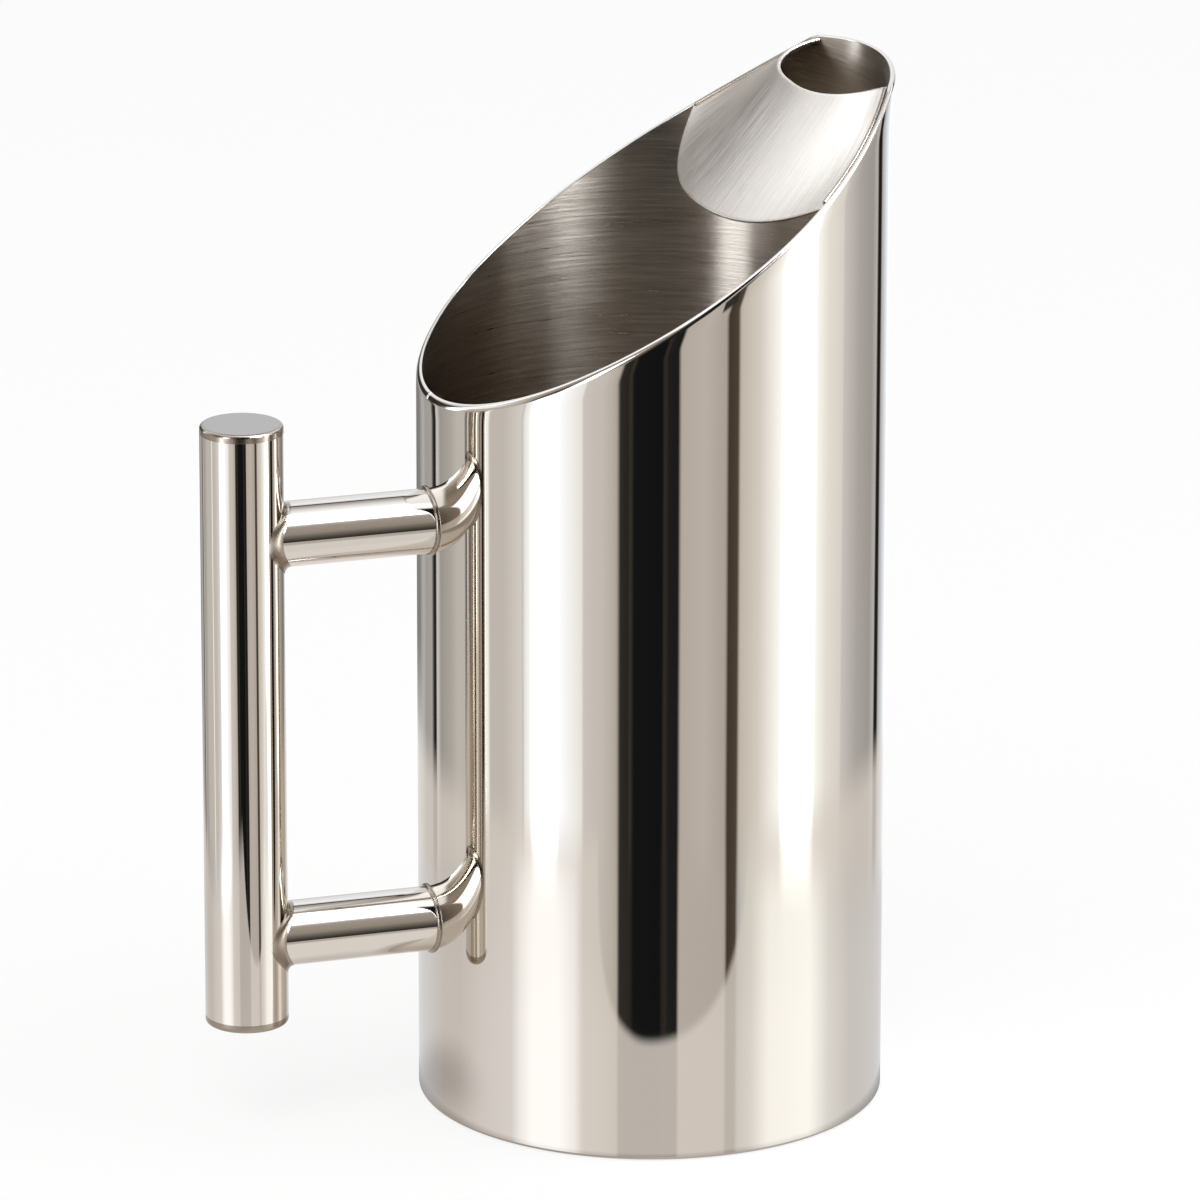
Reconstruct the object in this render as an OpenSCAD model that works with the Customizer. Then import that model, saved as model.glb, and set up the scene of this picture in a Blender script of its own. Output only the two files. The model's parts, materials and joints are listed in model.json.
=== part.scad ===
// Water jug of welded stainless steel.
// A rolled tube stands on a flat disc and is cut at a slant into a tall spout.
// A formed sheet closes the front of the mouth, so that ice stays in the jug, and leaves a round
// pouring hole at the tip. The handle is a closed tube held by two short arms.
// Millimetres. The origin is the centre of the base on the table, +X points to the spout,
// the handle is on the -X side and +Z is up.

/* [Body] */
// Outside diameter of the rolled tube
body_d = 108; // [100:1:118]
// Thickness of the tube's wall
wall_t = 1.4; // [0.8:0.1:2]
// Height of the slanted cut on the tube's axis
mid_h = 205; // [190:1:230]
// Slope of the cut above the level, in degrees
cut_angle = 31.8; // [28:0.1:35]
// Extra height that the cut gains as it sweeps up to the spout
sweep_rise = 10.4; // [6:0.1:14]
// How late the cut starts to sweep up: a higher number is later
sweep_power = 6.2; // [4:0.1:9]
// Rounding of the tube's bottom edge
foot_r = 0.6; // [0.2:0.1:1]

/* [Spout] */
// How far the level cut of the lip lies below the end of the swept cut
lip_drop = 4.8; // [3.5:0.1:6]
// Slope of the lip's cut above the level, in degrees
lip_angle = 17.4; // [10:0.1:22]
// How far the tube flares outwards at the tip
lip_flare = 1.4; // [0.4:0.1:2]
// Height of the stretch that flares
flare_h = 25; // [16:1:32]

/* [Base] */
// Thickness of the base disc
base_t = 1.5; // [1:0.1:3]
// Chamfer round the disc, which leaves the fine groove seen under the jug
base_chamfer = 0.3; // [0.1:0.1:0.6]
// Width of the fillet that joins the disc to the tube inside
base_fillet = 1; // [0.5:0.1:2]

/* [Ice guard] */
// Thickness of the guard's sheet
guard_t = 1; // [0.6:0.1:1.4]
// Distance of the guard's lower edge in front of the tube's axis
guard_x = 10.4; // [4:0.1:14]
// Radius of the guard's lower edge, seen from above
guard_edge_r = 78; // [66:1:90]
// How far the middle of the guard's lower edge lies above the slope of the rim
edge_lift = 0.6; // [0:0.1:2]
// How late the lower edge climbs towards the rim: a higher number is later
edge_bow = 3; // [2:0.1:4]
// How far the guard's sides lie under the rim
guard_inset = 0.3; // [0.2:0.1:1]
// Front to back length of the pouring hole in the guard
hole_depth = 15.5; // [13:0.1:19]
// Squareness of the pouring hole: 2 is an ellipse
hole_square = 2.4; // [2:0.1:3.2]
// How far the middle of the hole's edge rises above the lip
hole_rise = 1.1; // [0.4:0.1:2]
// Gap between the guard's sides and the tube's inner wall
guard_fit = 0.05; // [0.02:0.01:0.1]

/* [Handle] */
// Diameter of the grip's tube
grip_d = 19.2; // [17:0.1:24]
// Length of the grip with both caps
grip_len = 143.6; // [138:0.1:156]
// Height of the grip's lower end above the table
grip_h = 25.3; // [20:0.1:30]
// Clear space for the fingers between the body and the grip
finger_gap = 34.2; // [28:0.1:44]
// Diameter of the two arms
arm_d = 15; // [11:0.5:16]
// Distance of the upper arm's axis from the grip's top
upper_arm_in = 27.1; // [20:0.1:34]
// Distance of the lower arm's axis from the grip's lower end
lower_arm_in = 20.3; // [14:0.1:28]
// Wall of the grip's tube and of the arms
tube_t = 1.2; // [0.8:0.1:2]
// Thickness of the grip's end caps
cap_t = 2; // [1.5:0.1:4]
// Rounding of the caps' edges
cap_r = 0.9; // [0.3:0.1:1.3]
// Length of the spigot that locates a cap in the tube
spigot_len = 4; // [2:0.5:8]
// Gap between a cap's spigot and the tube's bore
spigot_fit = 0.05; // [0.02:0.01:0.2]

/* [Welds] */
// Radius of the polished beads at both ends of the arms
bead_r = 0.8; // [0.5:0.1:1.4]
// Radius of the fine beads along the guard's sides
guard_bead_r = 0.35; // [0.2:0.05:0.5]
// Gap between a bead and the faces that it lies on
weld_fit = 0.05; // [0.03:0.01:0.1]

/* [Hidden] */

body_r = body_d / 2;
bore_r = body_r - wall_t;
grip_r = grip_d / 2;
arm_r = arm_d / 2;
grip_x = -(body_r + finger_gap + grip_r);
grip_top = grip_h + grip_len;
upper_arm_h = grip_top - upper_arm_in;
lower_arm_h = grip_h + lower_arm_in;

// Steps of the curves
cut_steps = 44;
flare_steps = 8;
round_steps = 5;
guard_cols = 32;
guard_rows = 16;
bead_rings = 40;
bead_sides = 8;
guard_bead_rings = 24;
// Small distance for slopes, and the reach of the cutting shapes past the solids
tiny = 0.01;
past = 6;

polished = [0.80, 0.78, 0.75];
brushed = [0.70, 0.69, 0.67];

// Side view of the slanted cut: a straight slope that sweeps up near the spout
function sweep_z(x) = mid_h + x * tan(cut_angle)
    + sweep_rise * pow(max(0, (x + body_r) / body_d), sweep_power);

// Side view of the lip: a flatter straight cut through the tip
tip_z = sweep_z(body_r) - lip_drop;
function lip_z(x) = tip_z - (body_r - x) * tan(lip_angle);

// Where the swept cut meets the lip's cut, found by halving the interval
function crossing(lo, hi, n) = n == 0 ? (lo + hi) / 2
    : let (mid = (lo + hi) / 2) sweep_z(mid) < lip_z(mid) ? crossing(mid, hi, n - 1)
    : crossing(lo, mid, n - 1);
lip_x = crossing(0, body_r, 24);

// Outward flare of the wall at a height
function flare(z) = lip_flare * pow(max(0, (z - tip_z + flare_h) / flare_h), 3);
function wall_r(z) = bore_r - guard_fit + flare(z);

// Point under the rim on the inner wall, in the direction of an angle round the axis
function under_rim(a) =
    let (first = sweep_z(bore_r * cos(a)), r = wall_r(first))
    [r * cos(a), r * sin(a), sweep_z(r * cos(a)) - guard_inset];

// The guard's lower edge is an arc about this centre, seen from above, and runs from wall to wall.
// Its middle is nearly level, and its ends climb to the rim.
edge_c = guard_x + guard_edge_r;
edge_wall = bore_r - guard_fit;
edge_end_x = (edge_wall * edge_wall + edge_c * edge_c - guard_edge_r * guard_edge_r) / (2 * edge_c);
edge_end_y = sqrt(edge_wall * edge_wall - edge_end_x * edge_end_x);
edge_a = atan2(edge_end_y, edge_c - edge_end_x);
edge_mid_z = sweep_z(guard_x) + edge_lift;
edge_climb = sweep_z(edge_end_x) - guard_inset - edge_mid_z;
function lower_edge(u) =
    let (x = edge_c - guard_edge_r * cos(edge_a * u), y = guard_edge_r * sin(edge_a * u))
    [x, y, edge_mid_z + edge_climb * pow(abs(y) / edge_end_y, edge_bow)];

// The guard's upper edge is half of a squared ellipse, which rises from the lip to its middle
hole_wall = wall_r(lip_z(lip_x));
hole_half = sqrt(hole_wall * hole_wall - lip_x * lip_x);
function upper_edge(u) =
    let (c = pow(cos(90 * u), 2 / hole_square), s = pow(abs(sin(90 * u)), 2 / hole_square))
    let (x = lip_x - hole_depth * c, y = sign(u) * hole_half * s)
    [x, y, lip_z(x) - guard_inset + (hole_rise + guard_inset) * sqrt(max(0, cos(90 * u)))];

// The guard's sides follow the wall under the rim
low_angle = atan2(edge_end_y, edge_end_x);
high_angle = atan2(hole_half, lip_x);
function side_edge(side, v) = under_rim(side * (low_angle + (high_angle - low_angle) * v));

// The guard is ruled between its lower and upper edges and swells out to the wall at its sides
function chord(side, v) = (1 - v) * lower_edge(side) + v * upper_edge(side);
function swell(u, side, v) = pow(max(0, side * u), 3) * (side_edge(side, v) - chord(side, v));
function sheet(u, v) = (1 - v) * lower_edge(u) + v * upper_edge(u) + swell(u, 1, v) + swell(u, -1, v);
function unit(p) = p / norm(p);
function sheet_up(u, v) =
    let (across = sheet(min(1, u + tiny), v) - sheet(max(-1, u - tiny), v))
    let (along = sheet(u, min(1, v + tiny)) - sheet(u, max(0, v - tiny)))
    unit(cross(along, across)) * -1;

// Pulls a point in to the wall where it would lie past it
function seated(p) =
    let (r = norm([p.x, p.y]), w = wall_r(p.z))
    r > w ? [p.x * w / r, p.y * w / r, p.z] : p;

// Closed mesh between two grids of the same size, the first one outside
module plate(rows, cols, outer, inner) {
    n = (rows + 1) * (cols + 1);
    function at(i, j) = i * (cols + 1) + j;
    skin = [for (i = [0 : rows - 1], j = [0 : cols - 1]) each [
        [at(i, j), at(i, j + 1), at(i + 1, j + 1)],
        [at(i, j), at(i + 1, j + 1), at(i + 1, j)]
    ]];
    back = [for (f = skin) [n + f[2], n + f[1], n + f[0]]];
    ends = [for (j = [0 : cols - 1]) each [
        [at(0, j + 1), at(0, j), n + at(0, j)],
        [at(0, j + 1), n + at(0, j), n + at(0, j + 1)],
        [at(rows, j), at(rows, j + 1), n + at(rows, j + 1)],
        [at(rows, j), n + at(rows, j + 1), n + at(rows, j)]
    ]];
    sides = [for (i = [0 : rows - 1]) each [
        [at(i, 0), at(i + 1, 0), n + at(i + 1, 0)],
        [at(i, 0), n + at(i + 1, 0), n + at(i, 0)],
        [at(i + 1, cols), at(i, cols), n + at(i, cols)],
        [at(i + 1, cols), n + at(i, cols), n + at(i + 1, cols)]
    ]];
    polyhedron(concat(outer, inner), concat(skin, back, ends, sides));
}

// Closed mesh through rings with the same number of points; loop is true where the last ring
// meets the first, and otherwise both ends get a flat face
module loop_mesh(rings, loop) {
    n = len(rings);
    m = len(rings[0]);
    last = loop ? n : n - 1;
    function at(i, k) = (i % n) * m + k % m;
    skin = [for (i = [0 : last - 1], k = [0 : m - 1]) each [
        [at(i, k), at(i, k + 1), at(i + 1, k + 1)],
        [at(i, k), at(i + 1, k + 1), at(i + 1, k)]
    ]];
    start = [for (k = [1 : m - 2]) [at(0, 0), at(0, k + 1), at(0, k)]];
    end = [for (k = [1 : m - 2]) [at(n - 1, 0), at(n - 1, k), at(n - 1, k + 1)]];
    polyhedron([for (ring = rings) each ring], loop ? skin : concat(skin, start, end));
}

// Circle of radius r round a point p of a path that runs along t there, which is never upright
function bead_ring(p, t, r) =
    let (a = unit(cross(t, [0, 0, 1])), b = unit(cross(t, a)))
    [for (k = [0 : bead_sides - 1])
        p + r * (a * cos(360 * k / bead_sides) + b * sin(360 * k / bead_sides))];

// Half section of the tube: rounded foot, straight wall and flared top
module wall_profile() {
    top = sweep_z(body_r) + past;
    start = tip_z - flare_h;
    heights = [for (i = [1 : flare_steps]) start + (top - start) * i / flare_steps];
    foot = [for (i = [0 : round_steps])
        let (a = 90 * i / round_steps)
        [body_r - foot_r + foot_r * sin(a), foot_r - foot_r * cos(a)]];
    outside = [for (z = heights) [body_r + flare(z), z]];
    inside = [for (i = [flare_steps - 1 : -1 : 0]) [bore_r + flare(heights[i]), heights[i]]];
    polygon(concat(foot, [[body_r, start]], outside, inside, [[bore_r, start], [bore_r, 0]]));
}

// Everything below a line in the side view, as a slab that is wider than the jug
module below(line) {
    reach = body_r + past;
    rotate([90, 0, 0])
        linear_extrude(height = 2 * reach, center = true)
            polygon(concat([[-reach, -past]], line, [[reach, -past]]));
}

module body_tube() {
    reach = body_r + past;
    swept = [for (i = [0 : cut_steps]) let (x = -reach + 2 * reach * i / cut_steps) [x, sweep_z(x)]];
    lip = [for (x = [-reach, reach]) [x, lip_z(x)]];
    color(polished)
        intersection() {
            rotate_extrude($fn = 180) wall_profile();
            below(swept);
            below(lip);
        }
}

module base_disc() {
    c = base_chamfer;
    color(brushed)
        rotate_extrude($fn = 180)
            polygon([[0, 0], [bore_r - c, 0], [bore_r, c], [bore_r, base_t], [0, base_t]]);
}

module base_weld() {
    f = base_fillet;
    color(brushed)
        rotate_extrude($fn = 180)
            polygon([[bore_r - f, base_t], [bore_r, base_t], [bore_r, base_t + f]]);
}

module ice_guard() {
    grid = [for (i = [0 : guard_rows], j = [0 : guard_cols]) [2 * j / guard_cols - 1, i / guard_rows]];
    outer = [for (g = grid) seated(sheet(g[0], g[1]))];
    inner = [for (g = grid) seated(sheet(g[0], g[1]) - guard_t * sheet_up(g[0], g[1]))];
    color(brushed) plate(guard_rows, guard_cols, outer, inner);
}

// Centre of the bead that lies in the corner of the guard's side and the inner wall
function corner_bead(side, v) =
    let (p = side_edge(side, v), r = norm([p.x, p.y]), wall = [-p.x / r, -p.y / r, 0])
    let (up = sheet_up(side, v))
    p + (up + wall) * (guard_bead_r + weld_fit) / (1 + up * wall);

// Fine bead along a side of the guard; side is +1 on the left
module guard_weld(side) {
    path = [for (i = [0 : guard_bead_rings]) corner_bead(side, i / guard_bead_rings)];
    last = len(path) - 1;
    rings = [for (i = [0 : last])
        bead_ring(path[i], unit(path[min(last, i + 1)] - path[max(0, i - 1)]), guard_bead_r)];
    color(polished) loop_mesh(rings, false);
}

module guard_weld_left() { guard_weld(1); }
module guard_weld_right() { guard_weld(-1); }

module grip_tube() {
    color(polished)
        translate([grip_x, 0, grip_h + cap_t])
            difference() {
                cylinder(h = grip_len - 2 * cap_t, r = grip_r, $fn = 96);
                translate([0, 0, -past])
                    cylinder(h = grip_len + 2 * past, r = grip_r - tube_t, $fn = 96);
            }
}

// End cap with a rounded edge and a spigot, drawn with its outer face up at height 0
module grip_cap() {
    spigot_r = grip_r - tube_t - spigot_fit;
    edge = [for (i = [0 : round_steps])
        let (a = 90 * i / round_steps)
        [grip_r - cap_r + cap_r * cos(a), -cap_r + cap_r * sin(a)]];
    shoulder = [[0, -cap_t - spigot_len], [spigot_r, -cap_t - spigot_len], [spigot_r, -cap_t]];
    rotate_extrude($fn = 96)
        polygon(concat(shoulder, [[grip_r, -cap_t]], edge, [[0, 0]]));
}

module grip_cap_top() {
    color(brushed) translate([grip_x, 0, grip_top]) grip_cap();
}

module grip_cap_bottom() {
    color(polished) translate([grip_x, 0, grip_h]) mirror([0, 0, 1]) grip_cap();
}

// Arm at height h, shaped at both ends to fit the body and the grip
module arm(h) {
    color(polished)
        difference() {
            translate([grip_x, 0, h]) rotate([0, 90, 0]) cylinder(h = -grip_x, r = arm_r, $fn = 96);
            translate([grip_x - past, 0, h])
                rotate([0, 90, 0]) cylinder(h = past - grip_x, r = arm_r - tube_t, $fn = 96);
            translate([0, 0, h - arm_d]) cylinder(h = 2 * arm_d, r = body_r, $fn = 180);
            translate([grip_x, 0, h - arm_d]) cylinder(h = 2 * arm_d, r = grip_r, $fn = 96);
        }
}

module upper_arm() { arm(upper_arm_h); }
module lower_arm() { arm(lower_arm_h); }

// Bead on the body round the end of the arm at height h
module body_weld(h) {
    sag = body_r - sqrt(body_r * body_r - (arm_r + bead_r) * (arm_r + bead_r));
    round_out = [for (i = [0 : round_steps])
        let (a = 90 * i / round_steps)
        [arm_r + bead_r * cos(a), bead_r * sin(a)]];
    color(polished)
        difference() {
            translate([-body_r, 0, h]) rotate([0, -90, 0])
                rotate_extrude($fn = 96)
                    polygon(concat([[arm_r, -sag], [arm_r + bead_r, -sag]], round_out));
            translate([0, 0, h - arm_d]) cylinder(h = 2 * arm_d, r = body_r, $fn = 180);
        }
}

// Quarter round of the bead on the grip at the angle a round the arm at height h. It starts at the
// corner between the two tubes and turns from the arm's face to the grip's face.
function saddle_ring(a, h) = [for (k = [-1 : round_steps])
    let (t = 90 * k / round_steps)
    let (out = k < 0 ? 0 : bead_r * sin(t), along = k < 0 ? 0 : bead_r * cos(t))
    let (r = arm_r + weld_fit + out, y = r * sin(a))
    [grip_x + sqrt(grip_r * grip_r - y * y) + weld_fit + along, y, h + r * cos(a)]];

module grip_weld(h) {
    rings = [for (i = [0 : bead_rings - 1]) saddle_ring(360 * i / bead_rings, h)];
    color(polished) loop_mesh(rings, true);
}

module upper_body_weld() { body_weld(upper_arm_h); }
module lower_body_weld() { body_weld(lower_arm_h); }
module upper_grip_weld() { grip_weld(upper_arm_h); }
module lower_grip_weld() { grip_weld(lower_arm_h); }

body_tube();
base_disc();
base_weld();
ice_guard();
guard_weld_left();
guard_weld_right();
grip_tube();
grip_cap_top();
grip_cap_bottom();
upper_arm();
lower_arm();
upper_body_weld();
lower_body_weld();
upper_grip_weld();
lower_grip_weld();
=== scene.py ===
# %% [markdown]
# # A welded water jug in polished stainless steel
#
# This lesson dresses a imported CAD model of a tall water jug. The jug is a rolled tube that is cut at a
# slant, a flat base, a formed ice guard under the spout and a tubular handle on two short arms.
# Nearly everything that the eye sees on polished steel is a reflection, so the lesson has three parts:
# clean surfaces worked out with formulas, a few honest metals, and a studio for the metal to reflect.

# %% Load the frame
import json
import math

import bpy
import numpy as np
from mathutils import Matrix

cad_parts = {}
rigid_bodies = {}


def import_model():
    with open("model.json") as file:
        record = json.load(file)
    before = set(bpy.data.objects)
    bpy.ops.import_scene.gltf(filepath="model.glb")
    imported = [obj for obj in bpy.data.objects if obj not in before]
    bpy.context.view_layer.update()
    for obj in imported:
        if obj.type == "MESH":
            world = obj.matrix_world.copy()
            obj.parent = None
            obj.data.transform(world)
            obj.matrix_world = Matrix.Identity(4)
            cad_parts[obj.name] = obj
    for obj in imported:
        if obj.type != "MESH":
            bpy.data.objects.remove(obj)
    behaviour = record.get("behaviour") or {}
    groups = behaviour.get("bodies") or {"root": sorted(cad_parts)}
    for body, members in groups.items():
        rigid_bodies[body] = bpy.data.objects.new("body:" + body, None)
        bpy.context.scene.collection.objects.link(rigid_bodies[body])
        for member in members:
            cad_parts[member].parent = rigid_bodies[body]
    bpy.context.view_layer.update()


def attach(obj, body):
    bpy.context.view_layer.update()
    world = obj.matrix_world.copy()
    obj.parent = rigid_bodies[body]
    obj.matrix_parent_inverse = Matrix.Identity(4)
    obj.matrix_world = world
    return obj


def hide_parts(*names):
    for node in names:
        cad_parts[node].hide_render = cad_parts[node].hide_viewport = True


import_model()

# %% [markdown]
# ## Sizes
#
# The sizes are those of the CAD source, in millimetres. A mesh is worked out in millimetres too, and one
# helper turns it to metres when it builds the object. Keeping the same names as the CAD makes it easy to
# see that both tools draw the same jug.

# %% Sizes of the jug in millimetres
BODY_R, WALL = 54.0, 1.4
BORE_R = BODY_R - WALL
MID_H, CUT_ANGLE, SWEEP_RISE, SWEEP_POWER, FOOT_R = 205.0, 31.8, 10.4, 6.2, 0.6
LIP_DROP, LIP_ANGLE, LIP_FLARE, FLARE_H = 4.8, 17.4, 1.4, 25.0
BASE_T, BASE_CHAMFER, BASE_FILLET = 1.5, 0.3, 1.0
GUARD_T, GUARD_X, GUARD_EDGE_R, EDGE_LIFT, EDGE_BOW = 1.0, 10.4, 78.0, 0.6, 3.0
GUARD_INSET, HOLE_DEPTH, HOLE_SQUARE, HOLE_RISE, GUARD_FIT = 0.3, 15.5, 2.4, 1.1, 0.05
GRIP_R, GRIP_LEN, GRIP_H, FINGER_GAP = 9.6, 143.6, 25.3, 34.2
ARM_R, TUBE_T, UPPER_ARM_IN, LOWER_ARM_IN = 7.5, 1.2, 27.1, 20.3
GRIP_X = -(BODY_R + FINGER_GAP + GRIP_R)
GRIP_TOP = GRIP_H + GRIP_LEN
ARMS = {"upper": GRIP_TOP - UPPER_ARM_IN, "lower": GRIP_H + LOWER_ARM_IN}
print(f"grip axis at x {GRIP_X:.1f}, arms at heights {ARMS}")

# %% [markdown]
# ## From a grid of points to a mesh
#
# Every surface here is a grid of points, so one helper joins neighbouring points into four-sided faces.
# A grid may close on itself in either direction, as a ring or a tube does. The whole grid is computed as
# one numpy array and handed to Blender in one go, which is quicker than adding points one by one.

# %% Helpers that build pieces
MM, SHARP_ANGLE = 0.001, math.radians(38)


def quads(rows, cols, close_rows=False, close_cols=False):
    """Joins each point of a grid with its neighbours: face (i, j) has the corners (i, j), (i, j+1),
    (i+1, j+1) and (i+1, j), counted round again where the grid is closed."""
    i = np.arange(rows if close_rows else rows - 1)
    j = np.arange(cols if close_cols else cols - 1)
    i, j = (a.ravel() for a in np.meshgrid(i, j, indexing="ij"))
    i2, j2 = (i + 1) % rows, (j + 1) % cols
    return np.stack([i * cols + j, i * cols + j2, i2 * cols + j2, i2 * cols + j], axis=-1)


def piece(name, points, faces, metals, nodes, face_metal=None, uv=None):
    """Makes an object from points in millimetres that is smooth up to corners of 38 degrees, rides it
    on the body and lets it stand for CAD nodes. face_metal picks one of the metals for each face, and
    uv gives each point's pattern coordinates in metres."""
    mesh = bpy.data.meshes.new(name)
    mesh.from_pydata((np.asarray(points) * MM).tolist(), [], [list(f) for f in faces])
    for metal in metals:
        mesh.materials.append(metal)
    if face_metal is not None:
        mesh.polygons.foreach_set("material_index", np.asarray(face_metal, dtype=np.int32))
    if uv is not None:
        corners = np.zeros(len(mesh.loops), dtype=np.int32)
        mesh.loops.foreach_get("vertex_index", corners)
        layer = mesh.uv_layers.new(name="grain")
        layer.data.foreach_set("uv", np.asarray(uv, dtype=np.float32)[corners].ravel())
    mesh.shade_smooth()
    mesh.set_sharp_from_angle(angle=SHARP_ANGLE)
    mesh.update()
    made = bpy.data.objects.new(name, mesh)
    bpy.context.scene.collection.objects.link(made)
    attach(made, "root")
    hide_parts(*nodes)
    print(f"{name}: {len(points)} points, {len(faces)} faces")


def ring_piece(name, grid, metals, node, turn=False, face_metal=None):
    """A polished piece from a grid that closes on itself in both directions. Its faces are turned where
    the rows run the other way round."""
    faces = quads(*grid.shape[:2], close_rows=True, close_cols=True)
    piece(name, grid.reshape(-1, 3), faces[:, ::-1] if turn else faces, metals, [node],
          face_metal=face_metal)


# %% [markdown]
# ## Colours and nodes
#
# Colours are written as hex codes, as a designer writes them, and turned to the linear values that the
# renderer adds up. One small function adds any shader node with its settings and links.


# %% Helpers for materials
def linear(code):
    """Linear colour of an sRGB hex code: c / 12.92 up to 0.04045, else ((c + 0.055) / 1.055) to the
    power 2.4."""
    c = np.array([int(code[i:i + 2], 16) / 255 for i in (1, 3, 5)])
    value = np.where(c <= 0.04045, c / 12.92, ((c + 0.055) / 1.055) ** 2.4)
    return (*value.tolist(), 1.0)


def add(tree, kind, links=None, **settings):
    """Adds one node. A key of links names an input, and its value is a number, a colour or another
    node's output; settings are the node's own properties."""
    made = tree.nodes.new(kind)
    for key, value in settings.items():
        setattr(made, key, value)
    for key, value in (links or {}).items():
        if isinstance(value, bpy.types.NodeSocket):
            tree.links.new(value, made.inputs[key])
        else:
            made.inputs[key].default_value = value
    return made


def new_metal(name, colour, roughness, anisotropic=0.0):
    """A bare metal: metallic 1 and the default IOR, with its own colour and roughness. The quarter turn
    spreads reflections across the tangent, which follows the strokes of the brush."""
    metal = bpy.data.materials.new(name)
    metal.use_nodes = True
    tree = metal.node_tree
    shader = tree.nodes["Principled BSDF"]
    shader.inputs["Base Color"].default_value = linear(colour)
    shader.inputs["Metallic"].default_value = 1.0
    shader.inputs["Roughness"].default_value = roughness
    shader.inputs["Anisotropic"].default_value = anisotropic
    shader.inputs["Anisotropic Rotation"].default_value = 0.25 if anisotropic else 0.0
    return metal, tree, shader


# %% [markdown]
# ## Mirror steel
#
# The outside of the body, the grip and the arms are stainless steel of the common 18/10 kind, polished on
# cloth wheels until they mirror the room. Such steel gives back about three quarters of the light with a
# faint warm tint. Polishing leaves no grain, but it leaves the sheet very slightly wavy. Noise with one
# wave in about 40 mm, turned into a weak bump, keeps the reflections from looking computed. The other
# smooth finishes use the same function with a finer grain.


# %% Mirror steel
def add_relief(tree, shader, per_metre, detail, strength, depth):
    """Fine relief on a smooth metal: noise with so many bumps to the metre, whose height in metres is
    the depth, and whose tilt of the surface is scaled by the strength."""
    place = add(tree, "ShaderNodeTexCoord")
    relief = add(tree, "ShaderNodeTexNoise", {"Vector": place.outputs["Object"], "Scale": per_metre,
                                              "Detail": detail})
    bump = add(tree, "ShaderNodeBump", {"Height": relief.outputs["Fac"], "Strength": strength,
                                        "Distance": depth})
    tree.links.new(bump.outputs["Normal"], shader.inputs["Normal"])


STEEL = "#DAD3C9"
mirror_steel, tree, shader = new_metal("mirror_polished_stainless_steel", STEEL, 0.035)
add_relief(tree, shader, per_metre=24.0, detail=1.0, strength=0.05, depth=0.0004)
print("made", mirror_steel.name)

# %% [markdown]
# ## Brushed steel inside the tube
#
# The sheet is brushed on its inner face, and the strokes run round the tube. Their grooves spread a
# reflection up and down but hardly sideways, which is why the inside shows soft upright bands. An
# anisotropic shader gives that spread. Noise that is stretched along the strokes, about 1.3 to the
# millimetre up the wall and one in 20 mm round it, gives the fine streaks between the bands. Real grooves
# are finer still, so these are drawn as coarse as they need to be to show.


# %% Brushed inside
def add_strokes(tree, shader, place, per_metre, harshness, rough, tones, strength, depth):
    """Strokes of a brush: noise stretched by its counts per metre along each axis. The same noise moves
    the roughness and the tone between two values each, and its height tilts the surface."""
    stretch = add(tree, "ShaderNodeMapping", {"Vector": place, "Scale": per_metre})
    strokes = add(tree, "ShaderNodeTexNoise", {"Vector": stretch.outputs["Vector"], "Scale": 1.0,
                                               "Detail": 4.0, "Roughness": harshness})
    streak = strokes.outputs["Fac"]
    # The noise lies mostly between 0.3 and 0.7
    shade = add(tree, "ShaderNodeMapRange", {"Value": streak, "From Min": 0.3, "From Max": 0.7,
                                             "To Min": rough[0], "To Max": rough[1]})
    tree.links.new(shade.outputs["Result"], shader.inputs["Roughness"])
    tone = add(tree, "ShaderNodeMix", {"Factor": streak, 6: linear(tones[0]), 7: linear(tones[1])},
               data_type="RGBA")
    tree.links.new(tone.outputs[2], shader.inputs["Base Color"])
    bump = add(tree, "ShaderNodeBump", {"Height": streak, "Strength": strength, "Distance": depth})
    tree.links.new(bump.outputs["Normal"], shader.inputs["Normal"])


INSIDE_TONES, INSIDE_ROUGH = ("#978B7C", "#D9CEC0"), (0.27, 0.36)
brushed_inside, tree, shader = new_metal(
    "brushed_stainless_steel_inside", INSIDE_TONES[1], INSIDE_ROUGH[1], anisotropic=1.0)
round_axis = add(tree, "ShaderNodeTangent", direction_type="RADIAL", axis="Z")
tree.links.new(round_axis.outputs["Tangent"], shader.inputs["Tangent"])
place = add(tree, "ShaderNodeTexCoord").outputs["Object"]
add_strokes(tree, shader, place, per_metre=(50, 50, 1300), harshness=0.7, rough=INSIDE_ROUGH,
            tones=INSIDE_TONES, strength=0.9, depth=0.00012)
print("made", brushed_inside.name)

# %% [markdown]
# ## Brushed steel of the ice guard
#
# The guard is brushed by hand along its slope with a finer pad, so it is lighter and softer than the
# inside. Its strokes follow the sheet from the lower edge to the pouring hole, and for that the mesh
# carries pattern coordinates: across the sheet and along it, both in real metres.

# %% Brushed guard
GUARD_TONES, GUARD_ROUGH = ("#BAB0A3", "#F8F0E5"), (0.28, 0.40)
brushed_guard, tree, shader = new_metal(
    "brushed_stainless_steel_guard", GUARD_TONES[1], GUARD_ROUGH[1], anisotropic=0.6)
along = add(tree, "ShaderNodeTangent", direction_type="UV_MAP", uv_map="grain")
tree.links.new(along.outputs["Tangent"], shader.inputs["Tangent"])
place = add(tree, "ShaderNodeUVMap", uv_map="grain").outputs["UV"]
add_strokes(tree, shader, place, per_metre=(60, 1200, 1), harshness=0.65, rough=GUARD_ROUGH,
            tones=GUARD_TONES, strength=0.8, depth=0.0001)
print("made", brushed_guard.name)

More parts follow.
